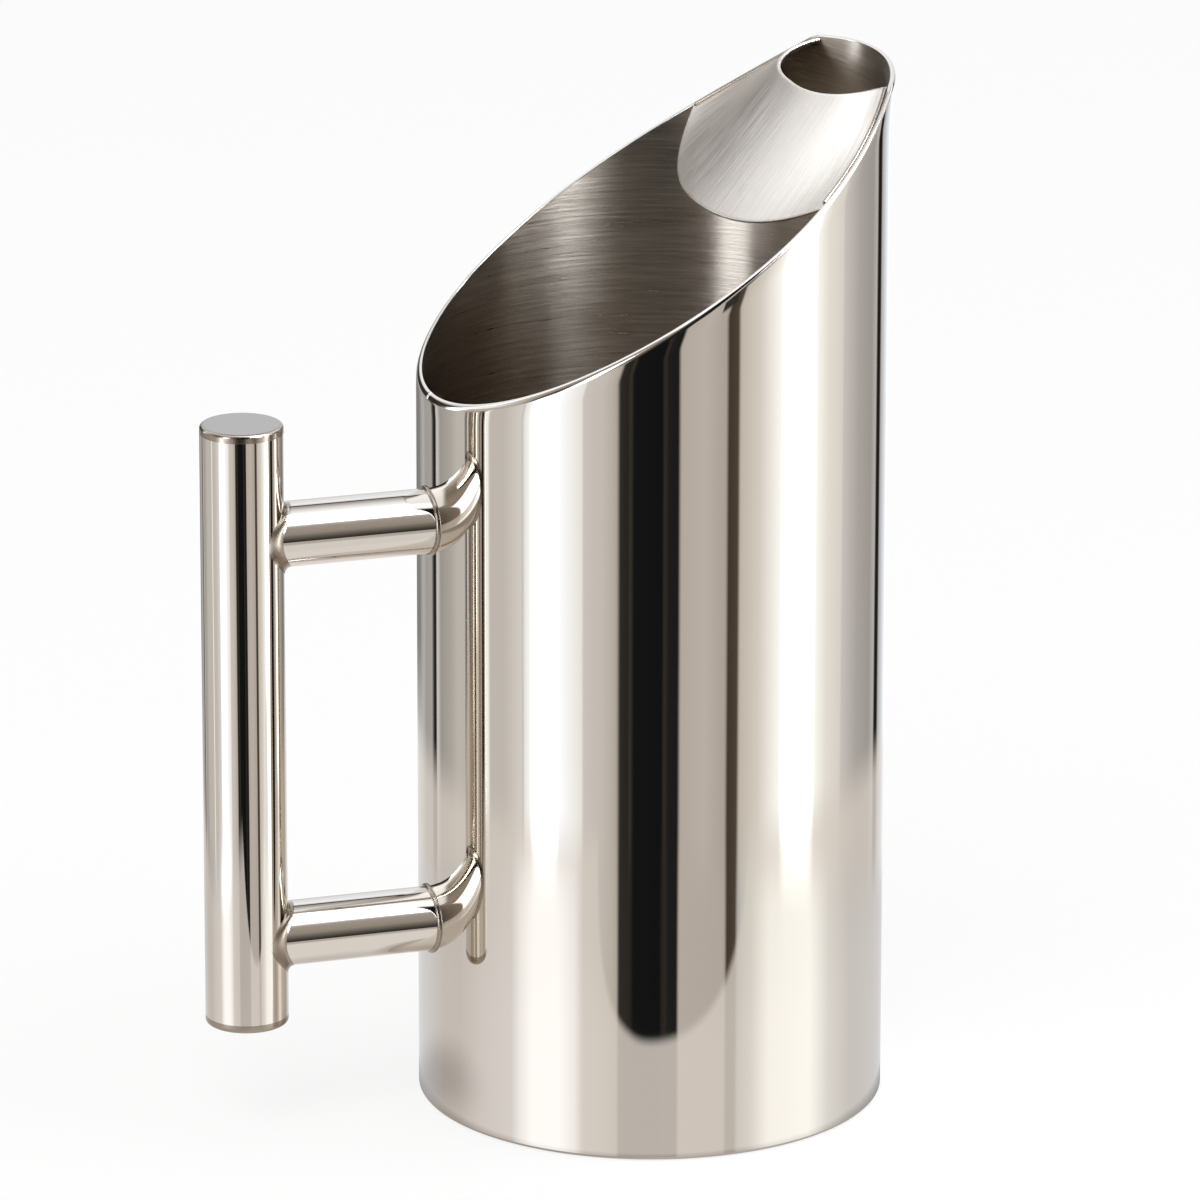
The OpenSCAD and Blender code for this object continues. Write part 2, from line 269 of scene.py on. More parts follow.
# %% [markdown]
# ## Satin, welded and buffed steel
#
# Three more finishes cover small places. The flat ends of the grip are ground with a fine grit and lightly
# buffed, so they reflect a soft grey without a picture in it. The weld metal and the rounded edges of the
# caps are polished by hand, and stay browner and rougher than the sheet. The rim is buffed after the cut,
# so it is a little softer than the wall, and its narrow highlight doesn't break up into dots. The grain is
# given in bumps to the metre: 2500 is one in 0.4 mm, which is coarser than real grit, so that it shows.

# %% Satin ends, polished welds and buffed rim
satin_steel, tree, shader = new_metal("satin_stainless_steel", "#A9A39B", 0.24)
add_relief(tree, shader, per_metre=2500.0, detail=2.0, strength=0.1, depth=0.00002)
polished_weld, tree, shader = new_metal("polished_weld_steel", "#A2978A", 0.22)
add_relief(tree, shader, per_metre=900.0, detail=1.0, strength=0.04, depth=0.00005)
buffed_rim, tree, shader = new_metal("buffed_stainless_steel_rim", STEEL, 0.11)
add_relief(tree, shader, per_metre=600.0, detail=2.0, strength=0.03, depth=0.00005)
print("made", satin_steel.name, polished_weld.name, buffed_rim.name)

# %% [markdown]
# ## The cut of the body
#
# Seen from the side, the tube is cut along a straight slope that sweeps up near the spout, and the tip is
# cut again by a flatter line, the lip. The height of the rim at any point is the lower of the two, and it
# depends only on x. Near the tip the wall flares outwards by a cubic curve.


# %% Formulas of the cut
def sweep_z(x):
    """Middle height plus slope times x, plus a rise that grows with a power of the way to the spout."""
    way = np.maximum(0, (x + BODY_R) / (2 * BODY_R))
    return MID_H + x * math.tan(math.radians(CUT_ANGLE)) + SWEEP_RISE * way**SWEEP_POWER


TIP_Z = float(sweep_z(BODY_R)) - LIP_DROP


def lip_z(x):
    """Straight line down from the tip towards the handle, at the lip's slope."""
    return TIP_Z - (BODY_R - x) * math.tan(math.radians(LIP_ANGLE))


def flare(z):
    """Cubic growth from nothing at the start of the flare to its full width at the tip."""
    return LIP_FLARE * np.maximum(0, (z - TIP_Z + FLARE_H) / FLARE_H) ** 3


def cut_z(x):
    """Height of the rim at x: the lower of the swept cut and the lip."""
    return np.minimum(sweep_z(x), lip_z(x))


# The corner lies where the swept cut first rises above the lip's line
xs = np.linspace(30, BODY_R, 20001)
LIP_X = float(xs[np.argmax(sweep_z(xs) > lip_z(xs))])
print(f"tip at {TIP_Z:.2f} mm, lip meets the swept cut at x {LIP_X:.2f}")

# %% [markdown]
# ## The body
#
# One closed profile runs up the inner wall, over the rounded rim, down the outer wall, round the foot and
# back, and it is carried round the axis. At each angle the profile is stretched to the height of the cut.
# The polishing wheel rounds the outer edge of the rim over about 1 mm and the inner edge much less, and it
# takes 0.08 mm off the wall just below. That soft edge bends every reflection under the rim, which a sharp
# edge wouldn't. At the handle's side the end of the lengthwise seam shows as a small lift in the rim.

# %% Finish of the rim in millimetres
LEAN, LEAN_H = 0.08, 3.0
INNER_ROUND, OUTER_ROUND = 0.25, 1.1
SEAM_LIFT, SEAM_HALF = 0.2, 0.4
# Across the wall's thickness, the inner round takes the first share, the outer round the last one, and
# between them lie two rows of the flat top
INNER_SHARE, FLAT_ROWS, OUTER_SHARE = 0.18, (0.26, 0.36), 0.55
# A row's place up the wall is 1 - (1 - share) to this power, so that rows crowd towards the rim
CROWDING = 2.2
print(f"the rim leans in by {LEAN} mm over its last {LEAN_H} mm")


# %% Angles round the body
def rim_radius(bore, a):
    """Radius of the wall at the height of its own rim, found by repeating r = bore + flare(z), where z
    is the height of the cut at x = r cos a."""
    r = np.full_like(a, bore)
    for _ in range(8):
        r = bore + flare(cut_z(r * np.cos(a)))
    return r


BODY_COLS = 480


def body_angles(cols=BODY_COLS):
    """Even steps round the axis, with eight finer ones on both sides of the seam. The steps nearest to
    the two corners, where the lip meets the swept cut, move onto them: cos a = lip's x over the radius."""
    a = np.linspace(-np.pi, np.pi, cols, endpoint=False)
    fine = np.linspace(0, a[1] - a[0], 9)[1:-1]
    a = np.r_[a[0], a[0] + fine, a[1:], a[-1] + fine]
    guess = np.array([0.45])
    corner = math.acos(LIP_X / float(rim_radius(BODY_R, guess)[0]))
    for side in (corner, -corner):
        a[np.argmin(np.abs(a - side))] = side
    return a


def ring_points(r, a, z):
    """Points (r cos a, r sin a, z) for rows of radii and heights and columns of angles."""
    r, a, z = np.broadcast_arrays(r, a, z)
    return np.stack([r * np.cos(a), r * np.sin(a), z], axis=-1)


print("steps round the body:", len(body_angles()))


# %% Body surface
def rim_section(half):
    """The rim's section from inside to outside: a small round, a flat top and a long soft round. Gives
    each row's share of the wall's thickness and how far it falls below the top, both from 0 to 1."""
    t = np.radians(np.linspace(0, 90, half))
    outer = 1 - OUTER_SHARE + OUTER_SHARE * np.sin(t[:-1])
    share = np.r_[INNER_SHARE * (1 - np.cos(t[1:])), FLAT_ROWS, outer]
    fall = np.r_[1 - np.sin(t[1:]), 0, 0, 1 - np.cos(t[:-1])]
    return share[:, None], fall[:, None]


def body_grid(wall_rows=64, rim_rows=18):
    """Grid of the body's points, whose rows run along the profile: inner wall up, rim, outer wall down,
    foot and ring back to the inside. The rounding reaches further down where the rim is steep: by the
    square root of 1 + slope squared. The seam lifts the rim by a bell curve of the way from it, and
    pushes it out by half as much."""
    a = body_angles()
    lift = SEAM_LIFT * np.exp(-((np.pi - np.abs(a)) * BODY_R / SEAM_HALF) ** 2)
    inner_r, outer_r = rim_radius(BORE_R, a), rim_radius(BODY_R, a) - LEAN
    inner_top, outer_top = cut_z(inner_r * np.cos(a)), cut_z(outer_r * np.cos(a))
    # The slope is averaged over seven steps, so that it doesn't jump at the corners of the lip
    slope = np.gradient(outer_top, a * BODY_R)
    smooth = np.convolve(np.r_[slope[-3:], slope, slope[:3]], np.ones(7) / 7, "valid")
    steep = np.sqrt(1 + smooth**2)
    inner_end, outer_end = inner_top - INNER_ROUND * steep, outer_top - OUTER_ROUND * steep

    up = np.linspace(0, 1, wall_rows)[:, None]
    z = inner_end * (1 - (1 - up) ** CROWDING)
    inner_wall = ring_points(BORE_R + flare(z), a, z)

    share, fall = rim_section(rim_rows // 2)
    r = inner_r + (outer_r - inner_r) * share
    top = inner_top + (outer_top - inner_top) * share
    z = top - np.where(share < FLAT_ROWS[1], INNER_ROUND, OUTER_ROUND) * steep * fall + lift
    rim = ring_points(r + 0.5 * lift, a, z)

    # Two rows close above the foot keep its rounding out of the wall's shading
    z = FOOT_R + (outer_end - FOOT_R) * (1 - (1 - up[::-1]) ** CROWDING)
    z = np.vstack([z[:-1], z[-1:] + [[0.5], [0.12]], z[-1:]])
    near_rim = np.maximum(0, 1 - (outer_end - z) / (LEAN_H * steep))
    outer_wall = ring_points(BODY_R + flare(z) - LEAN * near_rim**2, a, z)

    t = np.radians([18, 36, 54, 72, 90])[:, None]
    r = np.vstack([BODY_R - FOOT_R + FOOT_R * np.cos(t), [[BORE_R]]])
    z = np.vstack([FOOT_R - FOOT_R * np.sin(t), [[0.0]]])
    foot = ring_points(r, a, z)
    return np.concatenate([inner_wall, rim, outer_wall, foot]), len(inner_wall), len(rim)


grid, inner_rows, rim_rows = body_grid()
body_metals = [mirror_steel, brushed_inside, buffed_rim]
metal_of_row = np.zeros(len(grid), dtype=int)
metal_of_row[:inner_rows + 1] = body_metals.index(brushed_inside)
metal_of_row[inner_rows + 1:inner_rows + rim_rows] = body_metals.index(buffed_rim)
ring_piece("body_shell", grid, body_metals, "body_tube", turn=True,
           face_metal=np.repeat(metal_of_row, grid.shape[1]))

# %% [markdown]
# ## The base
#
# A flat disc closes the tube and is welded to it inside, where the seam forms a small fillet. Its lower
# edge has a fine chamfer, which leaves a groove under the jug. It is a solid of revolution, so its profile
# is simply turned about the axis. The profile starts at a small circle, which a fan of triangles closes.


# %% Base plate
def turned(profile, steps, x=0.0):
    """Turns an open profile of (radius, height) pairs about the upright axis at x: the point at the
    angle a is (x + r cos a, r sin a, z). Both ends are closed by a fan of triangles to a point on the
    axis. Returns points, faces and the row of each face."""
    a = np.linspace(0, 2 * np.pi, steps, endpoint=False)
    r, z = np.asarray(profile, dtype=float).T[:, :, None]
    rings = ring_points(r, a, z) + [x, 0, 0]
    points = np.concatenate([rings.reshape(-1, 3), [[x, 0, z[0, 0]], [x, 0, z[-1, 0]]]])
    skin = quads(len(r), steps, close_cols=True)
    k, last = np.arange(steps), (len(r) - 1) * steps
    start = np.stack([np.full(steps, len(r) * steps), (k + 1) % steps, k], axis=-1)
    end = np.stack([last + k, last + (k + 1) % steps, np.full(steps, len(r) * steps + 1)], axis=-1)
    row = np.r_[np.repeat(np.arange(len(r) - 1), steps), np.zeros(steps), np.full(steps, len(r) - 1)]
    return points, skin.tolist() + start.tolist() + end.tolist(), row.astype(int)


FAN_R, BASE_STEPS = 20.0, 240
edge = BORE_R - GUARD_FIT
fillet = [(edge - BASE_FILLET * (1 - math.sin(t)), BASE_T + BASE_FILLET * (1 - math.cos(t)))
          for t in np.radians([0, 22, 45, 68, 90])]
profile = [(FAN_R, 0), (edge - BASE_CHAMFER, 0), (edge, BASE_CHAMFER), *fillet[::-1], (FAN_R, BASE_T)]
points, faces, _ = turned(profile, BASE_STEPS)
piece("base_plate", points, faces, [brushed_inside], ["base_disc", "base_weld"])

# %% [markdown]
# ## The ice guard
#
# The guard is one formed sheet. It is ruled: straight lines join a curved lower edge, which spans the tube
# from wall to wall, with the edge of the round pouring hole. At both sides the sheet swells out to follow
# the wall just under the rim. Both edges of the sheet are rounded over its whole thickness.


# %% Formulas of the guard
EDGE_C, EDGE_WALL = GUARD_X + GUARD_EDGE_R, BORE_R - GUARD_FIT
EDGE_END_X = (EDGE_WALL**2 + EDGE_C**2 - GUARD_EDGE_R**2) / (2 * EDGE_C)
EDGE_END_Y = math.sqrt(EDGE_WALL**2 - EDGE_END_X**2)
EDGE_A = math.atan2(EDGE_END_Y, EDGE_C - EDGE_END_X)
EDGE_MID_Z = float(sweep_z(GUARD_X)) + EDGE_LIFT
EDGE_CLIMB = float(sweep_z(EDGE_END_X)) - GUARD_INSET - EDGE_MID_Z
HOLE_WALL = EDGE_WALL + float(flare(lip_z(LIP_X)))
HOLE_HALF = math.sqrt(HOLE_WALL**2 - LIP_X**2)
LOW_ANGLE, HIGH_ANGLE = math.atan2(EDGE_END_Y, EDGE_END_X), math.atan2(HOLE_HALF, LIP_X)
print(f"the guard's lower edge is {2 * EDGE_A * GUARD_EDGE_R:.0f} mm long, seen from above")


def lower_edge(u):
    """An arc seen from above, nearly level in its middle, whose ends climb by a cubic curve."""
    x, y = EDGE_C - GUARD_EDGE_R * np.cos(EDGE_A * u), GUARD_EDGE_R * np.sin(EDGE_A * u)
    return np.stack([x, y, EDGE_MID_Z + EDGE_CLIMB * (np.abs(y) / EDGE_END_Y) ** EDGE_BOW], axis=-1)


def upper_edge(u):
    """Half of a squared ellipse in the slope of the lip, which rises towards its middle."""
    c = np.cos(np.pi / 2 * u).clip(0)
    s = np.abs(np.sin(np.pi / 2 * u))
    x = LIP_X - HOLE_DEPTH * c ** (2 / HOLE_SQUARE)
    y = np.sign(u) * HOLE_HALF * s ** (2 / HOLE_SQUARE)
    z = lip_z(x) - GUARD_INSET + (HOLE_RISE + GUARD_INSET) * np.sqrt(c)
    return np.stack([x, y, z], axis=-1)


def side_edge(side, v):
    """The inner wall just under the rim, from the lower edge's end to the hole's end."""
    a = side * (LOW_ANGLE + (HIGH_ANGLE - LOW_ANGLE) * v)
    r = EDGE_WALL + flare(sweep_z(BORE_R * np.cos(a)))
    return np.stack([r * np.cos(a), r * np.sin(a), sweep_z(r * np.cos(a)) - GUARD_INSET], axis=-1)


def guard_sheet(u, v):
    """Straight blend between both edges, plus a cubic swell to the wall at each side."""
    w = v[..., None]
    made = (1 - w) * lower_edge(u) + w * upper_edge(u)
    for side in (1.0, -1.0):
        end = np.full_like(u, side)
        chord = (1 - w) * lower_edge(end) + w * upper_edge(end)
        made = made + np.maximum(0, side * u)[..., None] ** 3 * (side_edge(side, v) - chord)
    return made


def unit(p):
    """Directions divided by their lengths."""
    return p / np.linalg.norm(p, axis=-1, keepdims=True)


# %% Guard surface
# Columns crowd towards the sides by this share, and patterns across count from the middle to here
SIDE_CROWDING, PATTERN_HALF_M = 0.35, 0.046


def guard_grid(cols=161, rows=97, edge_steps=7):
    """Closed profile carried across the sheet: up the upper face, round the hole's edge by a half
    circle, down the lower face and round the lower edge."""
    s = np.linspace(-1, 1, cols)
    u = np.sin(np.pi / 2 * s) * SIDE_CROWDING + s * (1 - SIDE_CROWDING)
    u, v = np.meshgrid(u, np.linspace(0, 1, rows))
    top = guard_sheet(u, v)
    across, up = np.gradient(top, axis=1), np.gradient(top, axis=0)
    normal = unit(np.cross(across, up))
    normal = normal * np.sign(normal[rows // 2, cols // 2, 2])
    half = GUARD_T / 2
    turn = np.radians(np.linspace(0, 180, edge_steps + 2)[1:-1])[:, None, None]

    def rounded(row, outward):
        centre = top[row] - normal[row] * half
        return centre + half * (np.cos(turn) * normal[row] + np.sin(turn) * outward)

    high = rounded(-1, unit(up[-1]))
    low = rounded(0, -unit(up[0]))[::-1]
    loop = np.concatenate([top, high, (top - GUARD_T * normal)[::-1], low])
    r = np.linalg.norm(loop[..., :2], axis=-1)
    limit = EDGE_WALL + flare(loop[..., 2])
    loop[..., :2] *= np.minimum(1, limit / r)[..., None]
    lengths = np.cumsum(np.linalg.norm(np.diff(loop[:, cols // 2], axis=0), axis=-1))
    along = np.r_[0, lengths] * MM
    uv = np.stack(np.broadcast_arrays(along[:, None], u[:1] * PATTERN_HALF_M), axis=-1)
    return loop, uv


loop, uv = guard_grid()
n_rows, n_cols = loop.shape[:2]
faces = quads(n_rows, n_cols, close_rows=True)
ends = []
# Each side is closed by a strip of faces between the upper and the lower half of the profile
for col, flip in ((0, False), (n_cols - 1, True)):
    rail = np.arange(n_rows) * n_cols + col
    near, far = rail[:n_rows // 2], rail[::-1][:n_rows // 2]
    cap = np.stack([near[:-1], near[1:], far[1:], far[:-1]], axis=-1)
    ends.append(cap if flip else cap[:, ::-1])
faces = np.concatenate([faces, *ends])
piece("guard_sheet", loop.reshape(-1, 3), faces[:, ::-1], [brushed_guard],
      ["ice_guard"], uv=uv.reshape(-1, 2))

# %% [markdown]
# ## Beads along the guard
#
# A fine bead closes the corner between each side of the guard and the wall. Its path is the side edge, a
# little up and a little inwards, and a small circle is carried along it. The circle shrinks nearly to a
# point at both ends, as the torch leaves it.

# %% Beads beside the guard
BEAD_R, BEAD_IN, BEAD_UP, BEAD_STEPS = 0.42, 0.38, 0.12, 120
# The radius grows with the square root of the way from the nearer end, times the taper
BEAD_TAPER, BEAD_END = 60, 0.02


def tube_along(path, radius, sides=16):
    """Circles round the points of a path: each lies in the plane across the path's direction."""
    direction = unit(np.gradient(path, axis=0))
    a = unit(np.cross(direction, [0.0, 0.0, 1.0]))
    b = unit(np.cross(direction, a))
    t = np.linspace(0, 2 * np.pi, sides, endpoint=False)[None, :, None]
    return path[:, None] + radius[:, None, None] * (np.cos(t) * a[:, None] + np.sin(t) * b[:, None])


def closed_ends(rings):
    """Faces of a tube of rings, with a fan of triangles to a point in the middle of each end."""
    n, m = rings.shape[:2]
    k = np.arange(m)
    start = np.stack([(k + 1) % m, k, np.full(m, n * m)], axis=-1)
    end = np.stack([(n - 1) * m + k, (n - 1) * m + (k + 1) % m, np.full(m, n * m + 1)], axis=-1)
    points = np.concatenate([rings.reshape(-1, 3), rings[[0, -1]].mean(axis=1)])
    return points, quads(n, m, close_cols=True).tolist() + start.tolist() + end.tolist()


for side, word in ((1.0, "left"), (-1.0, "right")):
    v = np.linspace(0, 1, BEAD_STEPS)
    path = side_edge(side, v)
    inward = -unit(path * [1, 1, 0])
    path = path + inward * BEAD_IN + np.array([0, 0, BEAD_UP])
    radius = BEAD_R * np.minimum(1, np.sqrt(np.minimum(v, 1 - v) * BEAD_TAPER + BEAD_END))
    points, bead_faces = closed_ends(tube_along(path, radius))
    piece(f"guard_bead_{word}", points, bead_faces, [polished_weld],
          [f"guard_weld_{word}"])

# %% [markdown]
# ## The grip
#
# The grip is a straight tube closed by two flat caps whose edges are rounded by 0.9 mm. The joints between
# the tube and the caps are polished away on the real one, so tube and caps meet without a step. The flat
# of a cap is satin, and its rounded edge has the finish of the welds.

# %% Grip tube and caps
CAP_T, CAP_R, SPIGOT, CAP_FIT, CAP_FAN_R = 2.0, 0.9, 4.0, 0.05, 4.0
# A row this far inside the rounding keeps the flat's shading flat
FLAT_MARGIN = 0.15
GRIP_STEPS, GRIP_ROWS = 192, 40
bore = GRIP_R - TUBE_T
heights = np.linspace(GRIP_H + CAP_T, GRIP_TOP - CAP_T, GRIP_ROWS)
a = np.linspace(0, 2 * np.pi, GRIP_STEPS, endpoint=False)
r = np.repeat([GRIP_R, bore], len(heights))[:, None]
z = np.r_[heights, heights[::-1]][:, None]
grid = ring_points(r, a, z) + [GRIP_X, 0, 0]
ring_piece("grip_pipe", grid, [mirror_steel], "grip_tube", turn=True)


# %% Grip caps
def cap_profile():
    """Half section of a cap: flat face, quarter round, short straight side and spigot."""
    t = np.radians(np.linspace(90, 0, 9))
    face = [(CAP_FAN_R, 0.0), (GRIP_R - CAP_R - FLAT_MARGIN, 0.0)]
    rounding = list(zip(GRIP_R - CAP_R + CAP_R * np.cos(t), -CAP_R + CAP_R * np.sin(t)))
    inside = bore - CAP_FIT
    return face + rounding + [(GRIP_R, -CAP_T), (inside, -CAP_T), (inside, -CAP_T - SPIGOT)]


def inside_out(faces):
    """The same faces with their corners in reverse order, so that they point the other way."""
    return [face[::-1] for face in faces]


points, faces, row = turned(cap_profile(), GRIP_STEPS, x=GRIP_X)
for word, at, sign in (("top", GRIP_TOP, 1), ("bottom", GRIP_H, -1)):
    placed = points * [1, 1, sign] + [0, 0, at]
    outward = inside_out(faces) if sign > 0 else faces
    piece(f"grip_end_{word}", placed, outward, [polished_weld, satin_steel],
          [f"grip_cap_{word}"], face_metal=row < 1)

# %% [markdown]
# ## The arms
#
# Each arm is a short tube that is shaped at both ends to sit on a round surface. Its length is different
# all the way round: at the height and side offset of each point, one end lies on the body's cylinder and
# the other on the grip's cylinder. Both ends are straight formulas, so no cutting is needed.


# %% Arms
def arm_grid(h, steps=160, rows=24):
    """Closed profile carried round the arm's axis: out along the outer face from the body to the grip
    and back along the bore. At the offset y, the body's face is at -sqrt(R^2 - y^2) and the grip's
    face is at its axis + sqrt(r^2 - y^2)."""
    a = np.linspace(0, 2 * np.pi, steps, endpoint=False)
    pipe = []
    for r, way in ((ARM_R, np.linspace(0, 1, rows)), (ARM_R - TUBE_T, np.linspace(1, 0, rows))):
        y, z = r * np.cos(a), h + r * np.sin(a)
        start, end = -np.sqrt(BODY_R**2 - y**2), GRIP_X + np.sqrt(GRIP_R**2 - y**2)
        x = start + (end - start) * way[:, None]
        pipe.append(np.stack(np.broadcast_arrays(x, y, z), axis=-1))
    return np.concatenate(pipe)


for word, h in ARMS.items():
    ring_piece(f"arm_pipe_{word}", arm_grid(h), [mirror_steel], f"{word}_arm")

# %% [markdown]
# ## Weld beads of the arms
#
# On the body, each arm ends in a thin raised bead, no thicker than a wire, which catches the light as one
# bright line. On the grip, the weld is ground to a smooth hollow fillet, so that a hand feels no edge.
# Both are rings carried round the arm, and each ring's points are placed on both surfaces that it joins.

# %% Sizes of the welds
# The bead's centre lies this far outside the arm and in front of the body's wall
RING_OUT, RING_BACK = 0.15, 0.1
# The fillet's root lies this deep in the corner, where it isn't seen
ROOT_DEPTH = 0.3
BEAD_RING_R, FILLET_SIZE, RING_STEPS = 0.5, 1.5, 160
print(f"beads {2 * BEAD_RING_R} mm thick, fillets {FILLET_SIZE} mm wide")


# %% Weld rings
def body_bead(h, r=BEAD_RING_R, steps=RING_STEPS, sides=14):
    """Small circles whose centres lie on the line where the arm meets the body."""
    a = np.linspace(0, 2 * np.pi, steps, endpoint=False)
    y, z = (ARM_R + RING_OUT) * np.cos(a), h + (ARM_R + RING_OUT) * np.sin(a)
    centre = np.stack([-np.sqrt(BODY_R**2 - y**2) - RING_BACK, y, z], axis=-1)
    out = np.stack([0 * a, np.cos(a), np.sin(a)], axis=-1)
    back = np.stack([-np.ones_like(a), 0 * a, 0 * a], axis=-1)
    t = np.linspace(0, 2 * np.pi, sides, endpoint=False)[:, None, None]
    return centre + r * (np.cos(t) * out + np.sin(t) * back)


def grip_fillet(h, size=FILLET_SIZE, steps=RING_STEPS, sides=10):
    """Hollow quarter round between the arm and the grip: a point starts on the arm, size away from the
    joint, and ends on the grip, size away from the arm."""
    a = np.linspace(0, 2 * np.pi, steps, endpoint=False)
    t = np.radians(np.linspace(0, 90, sides))[:, None]
    out, along = size * (1 - np.cos(t)), size * (1 - np.sin(t))
    r = ARM_R + out
    y = r * np.cos(a)
    x = GRIP_X + np.sqrt(GRIP_R**2 - y**2) + along
    skin = np.stack([x, y, h + r * np.sin(a)], axis=-1)
    root_r = ARM_R - ROOT_DEPTH
    y = root_r * np.cos(a)
    root = np.stack([GRIP_X + np.sqrt(GRIP_R**2 - y**2) - ROOT_DEPTH, y, h + root_r * np.sin(a)], axis=-1)
    return np.concatenate([skin, root[None]])


for word, h in ARMS.items():
    ring_piece(f"body_bead_{word}", body_bead(h), [polished_weld], f"{word}_body_weld")
    ring_piece(f"grip_fillet_{word}", grip_fillet(h), [polished_weld], f"{word}_grip_weld")

# %% [markdown]
# ## The studio
#
# Polished steel shows the room, so the room is part of the material. A real set has soft boxes, beige
# walls and black flags round the jug, and a bright ceiling. They could be built as glowing planes, but
# then they would stand in the way of other views. So the world gives metal its own view of such a room,
# and other rays get plain even light.
#
# Each entry of a list is a direction in degrees, turning to the right as seen from the camera, and the
# colour that polished steel shows there, with a boost for a panel brighter than white. Two entries close
# together make the sharp edge of a panel. The left and the right list are the room at eye level.

# %% Studio panels at eye level
CAMERA_AZIMUTH, CAMERA_ELEVATION = -18.01, 17.60
ROOM_SEAM = -20
LEFT_ROOM = [
    (-180, "#6E6861"), (-160, "#77716B"), (-155, "#98928B"), (-151, "#A8A29B"), (-147, "#98928B"),
    (-138, "#9F9992"), (-136, "#4A4540"), (-134.6, "#201C19"), (-132.4, "#201C19"), (-131.4, "#C8C2BA"),
    (-129.5, "#BDB6AD"), (-127, "#979189"), (-116, "#A9A39A"), (-111, "#B8B1A8"), (-90, "#BDB5AA"),
    (-89.2, "#F4EFE6"), (-87.6, "#F4EFE6"), (-86.4, "#BEB6AC"), (-77.6, "#BEB6AC"), (-72, "#C8C1B8"),
    (-66.6, "#D1CBC3"), (-65.9, "#B5ADA3"), (-65.3, "#E4E0DA"), (-62, "#F8F5F0"), (-57, "#FEFEFE", 3),
    (-50, "#FEFEFE", 3), (-46, "#FEFEFE"), (-34.3, "#E6E1D8"), (-33.5, "#C9C1BA"), (-24, "#C2B9AF"),
    (ROOM_SEAM, "#B8AFA5"),
]
RIGHT_ROOM = [
    (ROOM_SEAM, "#B8AFA5"), (-17, "#AEA49A"), (-15.5, "#2E2A25"), (-11.5, "#26231F"), (-10.2, "#3A342D"),
    (-8.8, "#141414"), (5, "#121212"), (6.3, "#342E28"), (8, "#201E1C"), (13.2, "#191818"), (14, "#B3A89D"),
    (26, "#B8AEA3"), (36.5, "#AA9F94"), (37.6, "#42352A"), (42.8, "#4B4136"), (43.7, "#BEB4A6"),
    (54, "#D3CABF"), (66, "#FDFAF2"), (70, "#FDFAF2", 3), (83, "#FDFAF2", 3), (88, "#FBF8EF"),
    (96, "#E2DBD0"), (107, "#D5CEC5"), (108, "#C6BDB7"), (122, "#A6A099"), (136, "#98928B"),
    (142.6, "#AFA9A1"), (144.6, "#1C1916"), (149.3, "#1C1916"), (151.5, "#A8A49C"), (160, "#C9C8C7"),
    (180, "#F4F4F4"),
]
print("panels at eye level:", len(LEFT_ROOM) + len(RIGHT_ROOM))

# %% [markdown]
# ## Lower and higher panels
#
# A soft box is seldom as wide at the floor as at the top, and the jug shows the difference. The camera
# looks down, so the upright wall mirrors directions below the level, and more so towards the foot. There
# the soft boxes are wider and brighter, and the far sides are cooler. Over the rim, the brushed inside
# sees the upper part of the room. Brushed steel smears what it shows, so its bright bands need narrow and
# very bright panels between dark walls. The polished wall doesn't show these.

# %% Studio panels near the floor and high up
LOWER_ROOM = [
    (-180, "#8A949B"), (-143, "#8A949B"), (-124, "#77716B"), (-110, "#77716B"), (-94, "#B2AEAC"),
    (-73, "#CFCDCA"), (-68, "#FFFFFF", 1.25), (-61, "#FFFFFF", 1.8), (-46, "#FFFFFF", 1.8),
    (-38, "#FFFFFF", 1.3), (-34.6, "#E6E1D8"), (-33.5, "#CCC5BE"), (-20, "#B8AFA5"), (-16.5, "#AEA49A"),
    (-15.5, "#2E2A25"), (-10.2, "#2A2622"), (-8.8, "#141414"), (5, "#121212"), (6.3, "#342E28"),
    (8, "#201E1C"), (13.3, "#191818"), (14, "#B3A89D"), (36.5, "#AFA59A"), (37.6, "#42352A"),
    (42.8, "#4B4136"), (43.7, "#B4B0A9"), (51, "#D5D6CD"), (61, "#FFFFF6", 1.5), (86, "#FFFFF8", 1.7),
    (100, "#DCE0DA"), (117, "#969B9F"), (180, "#707C86"),
]
UPPER_ROOM = [
    (-180, "#CFC8BF"), (-166, "#B0A89E"), (-152, "#2A2622"), (-121, "#2A2622"), (-120, "#FFFFFF", 2.5),
    (-114, "#FFFFFF", 2.5), (-110, "#B0A79C"), (-74, "#B0A79C"), (-68, "#4A4540"), (-50, "#534D46"),
    (-48.5, "#FFFFFF", 4.2), (-34.5, "#FFFFFF", 4.2), (-33, "#8D8175"), (-22, "#6A6259"), (-12, "#4A4540"),
    (-6, "#1C1A17"), (20, "#141210"), (28, "#2A2622"), (31, "#FFFFFF", 3.5), (42, "#FFFFFF", 3.5),
    (45, "#FFFFFF", 15), (55, "#FFFFFF", 15), (60, "#FFFFFF", 2.2), (68, "#8D8175"), (72, "#4A4540"),
    (79.5, "#4A4540"), (80.5, "#FFFFFF", 16), (84.5, "#FFFFFF", 16), (87, "#5B544C"), (105, "#FFFFFF"),
    (140, "#FFFFFF", 1.5), (180, "#CFC8BF"),
]
print("panels near the floor and high up:", len(LOWER_ROOM) + len(UPPER_ROOM))

# %% [markdown]
# ## The ceiling
#
# Anything that leans back, such as the guard, the rim's flat top or an arm's upper side, shows what hangs
# overhead. Here the angle runs from the front horizon at 0 over the zenith at 90 to the back horizon at
# 180. In the middle hangs a wide soft box between a brown wall, a dark beam and a pale back wall. On the
# left a white box fades to grey for the guard, and far on the left, behind the handle, the ceiling is
# brown with one bright strip. A last list says how high the panels reach before the ceiling starts, as the
# sine of the elevation.

